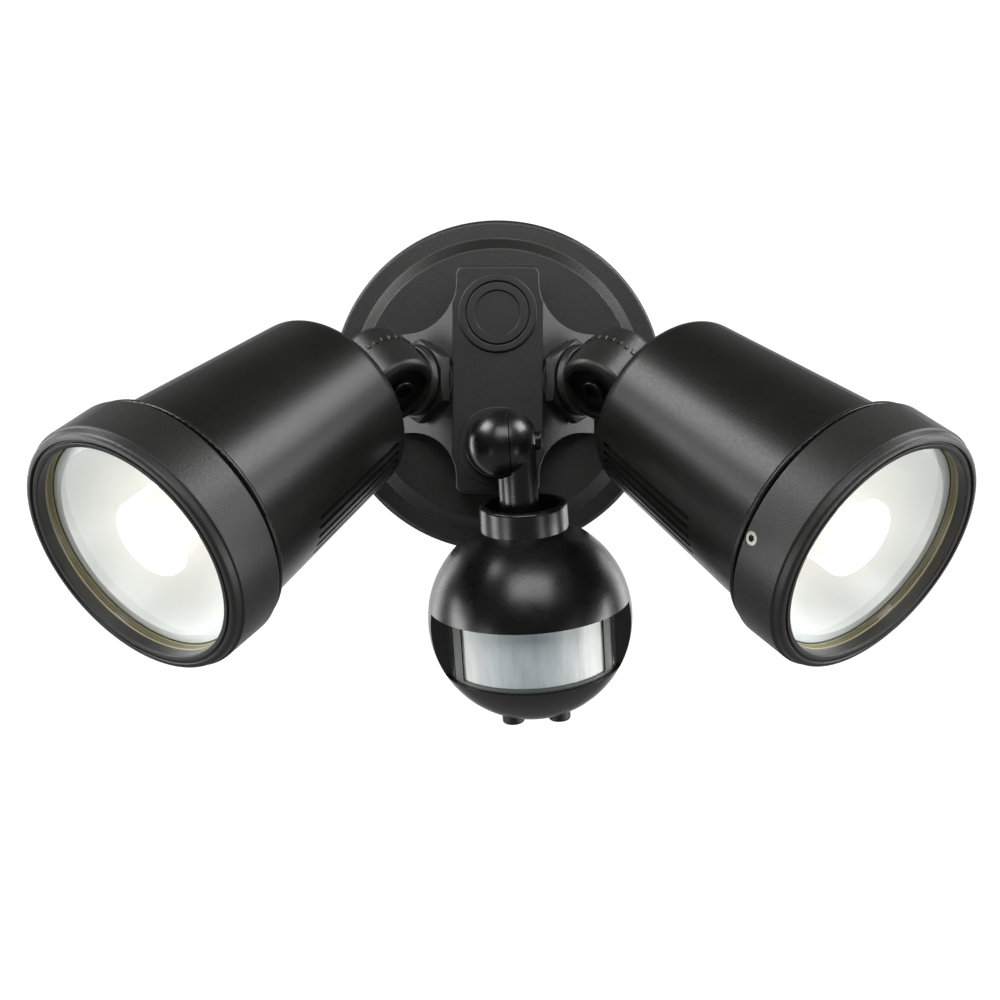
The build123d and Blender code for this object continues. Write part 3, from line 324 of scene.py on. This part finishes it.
def fresnel_lens():
    """The lens band: a cylinder sector about the neck's axis. Its face has shallow creases between its
    upright facets. Its back is cut as saw teeth whose phase is the distance from the middle of the nearest
    field, so that each field bears rings of its own."""
    share, rise = np.meshgrid((np.linspace(-1.0, 1.0, GRID_ACROSS) + 1) / 2, np.linspace(0.0, 1.0, GRID_UP))
    turn = np.radians(HALF_SPAN) * (2 * share - 1)
    height = LENS_LOW + LENS_HEIGHT * rise
    facet, field = share * FACETS % 1.0 - 0.5, rise * FIELDS % 1.0 - 0.5
    crease = CREASE_DEPTH * np.clip((np.abs(facet) - CREASE_START) / (0.5 - CREASE_START), 0, 1)
    from_middle = np.hypot(facet * FACET_WIDTH, field * FIELD_HEIGHT)
    tooth = RING_DEPTH * (from_middle / RING_PITCH % 1.0)

    def wall(radius):
        flat = radius[..., None] * (np.cos(turn)[..., None] * AHEAD + np.sin(turn)[..., None] * SIDE)
        return BALL + MM * (flat + height[..., None] * UP)

    return closed_shell("fresnel_lens", wall(FACE_R - crease), wall(BACK_R + tooth - crease),
                        np.stack([share, rise], 2), film)


lens_band = fresnel_lens()
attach(lens_band, "sensor_head")
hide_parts("sensor_lens")

# ---- tooth bands of the lamp pivots ----
# The left pivot's centre and axis, in metres; the right one is its mirror image.
PIVOT = np.array([-36.597, -34.097, 0.0]) * MM
PIVOT_AXIS = np.array([-0.5511, 0.5511, 0.6266])
# The teeth round the ring, the points to each and how steep their flanks are. Then, in mm, the band's lower
# and upper edge along the axis, its inner radius, the drum's radius and a tooth's rise.
TEETH, STEPS, FLANK = 28, 10, 2.5
BAND_LOW, BAND_TOP, BAND_INNER_R, DRUM_R, TOOTH_RISE = 5.3, 6.95, 12.5, 13.0, 0.35


def tooth_band(name, mirror, body):
    """A ring round the drum's open edge: a four-cornered profile carried round the pivot's axis. Its outer
    radius is the drum's plus a tooth's rise times a steep cosine of the angle, cut off at 0 and 1, so that
    each tooth fills about half of its pitch and has sloping flanks."""
    centre, axis = PIVOT * mirror, PIVOT_AXIS * mirror
    across = np.cross(axis, (0.0, 0.0, 1.0))
    across /= np.linalg.norm(across)
    along = np.cross(axis, across)
    angle = np.arange(TEETH * STEPS) * 2 * np.pi / (TEETH * STEPS)
    outer = DRUM_R + TOOTH_RISE * np.clip(0.5 + FLANK * np.cos(angle * TEETH), 0, 1)
    inner = np.full_like(outer, BAND_INNER_R)
    radius = np.stack([outer, outer, inner, inner], 1)[..., None]
    height = np.array([BAND_LOW, BAND_TOP, BAND_TOP, BAND_LOW])[None, :, None]
    spoke = (np.cos(angle)[:, None] * across + np.sin(angle)[:, None] * along)[:, None, :]
    points = centre + MM * (radius * spoke + height * axis)
    turn, corner = grid_indices(len(angle), 4)
    onward, upward = (turn + 1) % len(angle), (corner + 1) % 4
    faces = np.stack([turn * 4 + corner, onward * 4 + corner, onward * 4 + upward, turn * 4 + upward], 1)
    band = mesh_object(name, points, faces, powder_coat)
    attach(band, body)


tooth_band("left_tooth_band", np.array([1.0, 1.0, 1.0]), "left_stem")
tooth_band("right_tooth_band", np.array([-1.0, 1.0, 1.0]), "right_stem")

# ---- stage: a white floor that curves up into a wall far behind ----
# All in metres: the floor's height and front edge, the wall's place and top, and half the width.
FLOOR_Z, FLOOR_FRONT_Y, WALL_Y, WALL_TOP_Z, HALF_WIDTH = -0.6, -1.6, 1.1, 2.0, 2.0
BEND_R, BEND_STEPS = 0.5, 24
# Between these heights glossy rays see all of the stage's white. It fades to a small share down at the floor,
# and to another up at the height where the wall's shade begins.
BRIGHT_LOW_Z, BRIGHT_TOP_Z, SHADE_Z, FLOOR_SHARE, SHADE_SHARE = -0.35, 0.25, 0.6, 0.05, 0.15
# The colour of the white that is seen, and the strength of the world's even light.
WHITE, ROOM_LIGHT = (1, 1, 1, 1), 0.05


def white_where_seen(tree, plain, white):
    """Mixes two shaders: the white one for camera and transmission rays, the plain one for the light. Glossy
    rays see the white at the object's own height and less of it in the shade above and on the floor."""
    ray = add_node(tree, "ShaderNodeLightPath").outputs
    place = add_node(tree, "ShaderNodeNewGeometry").outputs["Position"]
    height = add_node(tree, "ShaderNodeSeparateXYZ", {"Vector": place}).outputs["Z"]
    inputs = {"Value": height, "From Min": FLOOR_Z, "From Max": BRIGHT_LOW_Z, "To Min": FLOOR_SHARE}
    low = add_node(tree, "ShaderNodeMapRange", inputs).outputs["Result"]
    inputs = {"Value": height, "From Min": BRIGHT_TOP_Z, "From Max": SHADE_Z,
              "To Min": 1.0, "To Max": SHADE_SHARE}
    high = add_node(tree, "ShaderNodeMapRange", inputs).outputs["Result"]
    share = add_node(tree, "ShaderNodeMath", {0: low, 1: high}, operation="MULTIPLY").outputs[0]
    inputs = {0: ray["Is Glossy Ray"], 1: share}
    seen = add_node(tree, "ShaderNodeMath", inputs, operation="MULTIPLY").outputs[0]
    for kind in ("Is Transmission Ray", "Is Camera Ray"):
        seen = add_node(tree, "ShaderNodeMath", {0: seen, 1: ray[kind]}, operation="MAXIMUM").outputs[0]
    return add_node(tree, "ShaderNodeMixShader", {0: seen, 1: plain, 2: white}).outputs["Shader"]


def white_paper():
    """Matt grey paper to the light, and white paper to every ray that shows it in the picture."""
    material = bpy.data.materials.new("white_paper_sweep")
    material.use_nodes = True
    tree = material.node_tree
    matt = add_node(tree, "ShaderNodeBsdfDiffuse", {"Color": linear("#767676")}).outputs["BSDF"]
    lift = add_node(tree, "ShaderNodeEmission", {"Color": WHITE, "Strength": 1.0}).outputs["Emission"]
    lifted = add_node(tree, "ShaderNodeAddShader", {0: matt, 1: lift}).outputs["Shader"]
    set_inputs(tree, tree.nodes["Material Output"], {"Surface": white_where_seen(tree, matt, lifted)})
    return material


def sweep_stage():
    """A floor that bends up into a wall: a line, a quarter circle and a line, carried sideways."""
    bend = np.linspace(0, np.pi / 2, BEND_STEPS)
    depth = np.concatenate([[FLOOR_FRONT_Y], WALL_Y - BEND_R + BEND_R * np.sin(bend), [WALL_Y]])
    height = np.concatenate([[FLOOR_Z], FLOOR_Z + BEND_R * (1 - np.cos(bend)), [WALL_TOP_Z]])
    count = len(depth)
    points = np.stack([np.stack([np.full(count, x), depth, height], 1) for x in (-HALF_WIDTH, HALF_WIDTH)])
    first = np.arange(count - 1)
    faces = np.stack([first, first + count, first + count + 1, first + 1], 1)
    stage = mesh_object("stage_sweep", points, faces, white_paper())
    stage.data.shade_smooth()
    return stage


backdrop = sweep_stage()

# The world is white to the camera and a faint even light to everything else.
world = bpy.data.worlds.new("studio")
world.use_nodes = True
world_tree = world.node_tree
room = add_node(world_tree, "ShaderNodeBackground", {"Color": WHITE, "Strength": ROOM_LIGHT}).outputs
white = add_node(world_tree, "ShaderNodeBackground", {"Color": WHITE, "Strength": 1.0}).outputs
ray = add_node(world_tree, "ShaderNodeLightPath").outputs
backgrounds = {0: ray["Is Camera Ray"], 1: room["Background"], 2: white["Background"]}
seen = add_node(world_tree, "ShaderNodeMixShader", backgrounds)
set_inputs(world_tree, world_tree.nodes["World Output"], {"Surface": seen.outputs["Shader"]})
bpy.context.scene.world = world

# ---- lights ----
# The point that every light faces, in metres, and the pairs of lights: the right one's place, then width,
# height and power in watts. The left one is its mirror image.
AIM = Vector((0, -0.06, -0.03))
PAIRS = {
    "upper_{}_softbox": ((0.72, -0.2, 0.66), 0.55, 0.4, 7),
    "{}_strip": ((0.9, -0.1, -0.05), 0.3, 0.8, 6.3),
    "lower_{}_softbox": ((0.75, -0.6, -0.45), 0.3, 0.3, 1.2),
    "rear_{}_strip": ((0.75, 0.6, 0.1), 0.35, 0.7, 1.8),
}


def softbox(name, place, width, height, power):
    """A rectangular area lamp that faces AIM and isn't seen itself."""
    lamp = bpy.data.lights.new(name, "AREA")
    lamp.shape, lamp.size, lamp.size_y, lamp.energy = "RECTANGLE", width, height, power
    holder = bpy.data.objects.new(name, lamp)
    bpy.context.scene.collection.objects.link(holder)
    holder.location = place
    holder.visible_camera = False
    holder.rotation_euler = (AIM - holder.location).to_track_quat("-Z", "Y").to_euler()


for name, ((x, y, z), width, height, power) in PAIRS.items():
    softbox(name.format("left"), (-x, y, z), width, height, power)
    softbox(name.format("right"), (x, y, z), width, height, power)
softbox("front_upper_softbox", (0, -0.95, 0.6), 0.9, 0.55, 7)

# ---- camera: level, straight at the wall, as the photograph was taken ----
# Its place and clipping in metres, the lens and the sensor in mm.
CAMERA_PLACE, CLIP_NEAR, CLIP_FAR = (0.0008, -0.5, -0.0415), 0.01, 20
FOCAL_LENGTH, SENSOR_WIDTH = 48.96, 36.0
lens = bpy.data.cameras.new("view_from_front")
lens.sensor_width, lens.lens = SENSOR_WIDTH, FOCAL_LENGTH
lens.clip_start, lens.clip_end = CLIP_NEAR, CLIP_FAR
camera = bpy.data.objects.new("view_from_front", lens)
bpy.context.scene.collection.objects.link(camera)
camera.location = CAMERA_PLACE
camera.rotation_euler = (np.pi / 2, 0, 0)
bpy.context.scene.camera = camera
bpy.context.scene.view_settings.view_transform = "Standard"
